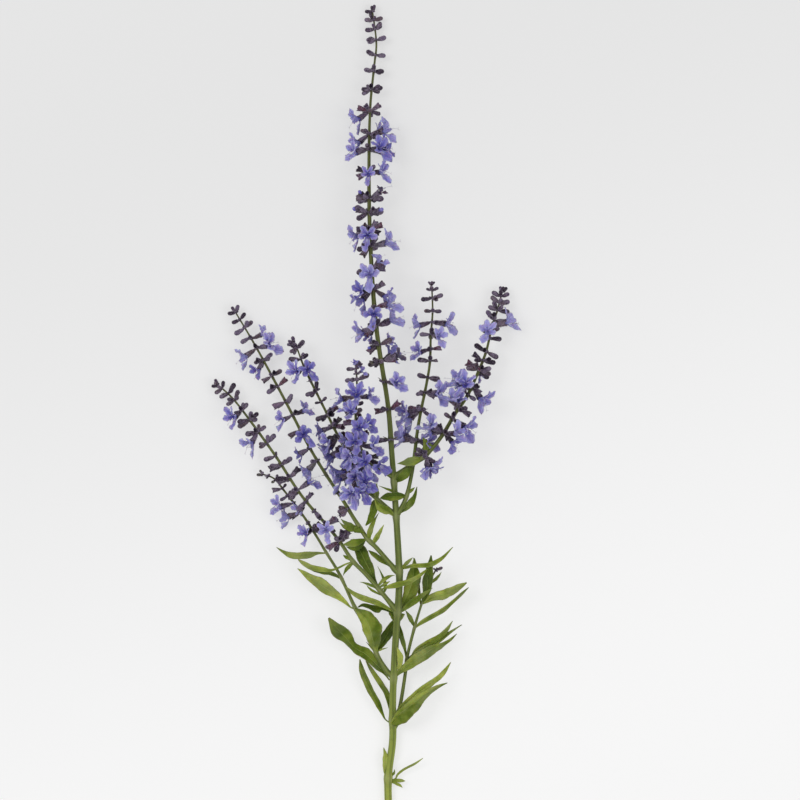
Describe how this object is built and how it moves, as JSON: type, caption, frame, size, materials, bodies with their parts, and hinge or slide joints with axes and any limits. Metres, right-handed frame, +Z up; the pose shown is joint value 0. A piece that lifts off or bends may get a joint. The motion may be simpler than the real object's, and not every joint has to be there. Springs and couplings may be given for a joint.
{
  "type": "russian sage flower spike",
  "caption": "Cut, branched flowering stem of Russian sage, laid flat: green leafy stem, narrow green leaves and slender side spikes of small violet-blue flowers.",
  "frame": {"origin": "middle of the footprint of the lying stem, on the surface it lies on", "axes": "+Y along the stem from the cut end to the tip of the main spike, +X across it to the right seen from above, +Z up from the surface"},
  "size_m": [0.1698, 0.4512, 0.0435],
  "materials": {
    "main_stem": "satin",
    "branch": "satin",
    "leaf": "satin",
    "flower": "matte"
  },
  "bodies": {
    "root": {"branch_a_spike": "flower", "branch_a_stem": "branch", "branch_b_spike": "flower", "branch_b_stem": "branch", "branch_c_spike": "flower", "branch_c_stem": "branch", "branch_d_spike": "flower", "branch_d_stem": "branch", "branch_e_spike": "flower", "branch_e_stem": "branch", "branch_f_spike": "flower", "branch_f_stem": "branch", "branch_g_spike": "flower", "branch_g_stem": "branch", "branch_h_spike": "flower", "branch_h_stem": "branch", "leaf_1_curved": "leaf", "leaf_1_upright": "leaf", "leaf_2_back": "leaf", "leaf_2_left": "leaf", "leaf_2_right": "leaf", "leaf_2_right_upper": "leaf", "leaf_3_front": "leaf", "leaf_3_left": "leaf", "leaf_3_right": "leaf", "leaf_4_left": "leaf", "leaf_4_left_lower": "leaf", "leaf_4_right": "leaf", "leaf_4_right_low": "leaf", "leaf_5_left": "leaf", "leaf_5_right": "leaf", "leaf_6_left": "leaf", "leaf_6_right": "leaf", "leaf_7_right": "leaf", "leaf_a1_broad": "leaf", "leaf_a1_crossing": "leaf", "leaf_a2_left": "leaf", "leaf_b1_broad": "leaf", "leaf_b1_dark": "leaf", "leaf_b2_left": "leaf", "leaf_b2_upper": "leaf", "leaf_b3_left": "leaf", "leaf_c1_left": "leaf", "leaf_c1_right": "leaf", "leaf_c1_up": "leaf", "leaf_c1_upper": "leaf", "leaf_d1_down": "leaf", "leaf_d1_up": "leaf", "leaf_f1_crossing": "leaf", "leaf_g1_left": "leaf", "leaf_h1_left": "leaf", "leaf_h1_right": "leaf", "leaf_h2_left": "leaf", "leaf_h2_right": "leaf", "leaf_h3_right": "leaf", "leaf_h3_up": "leaf", "main_spike": "flower", "main_stem": "main_stem"}
  },
  "joints": []
}
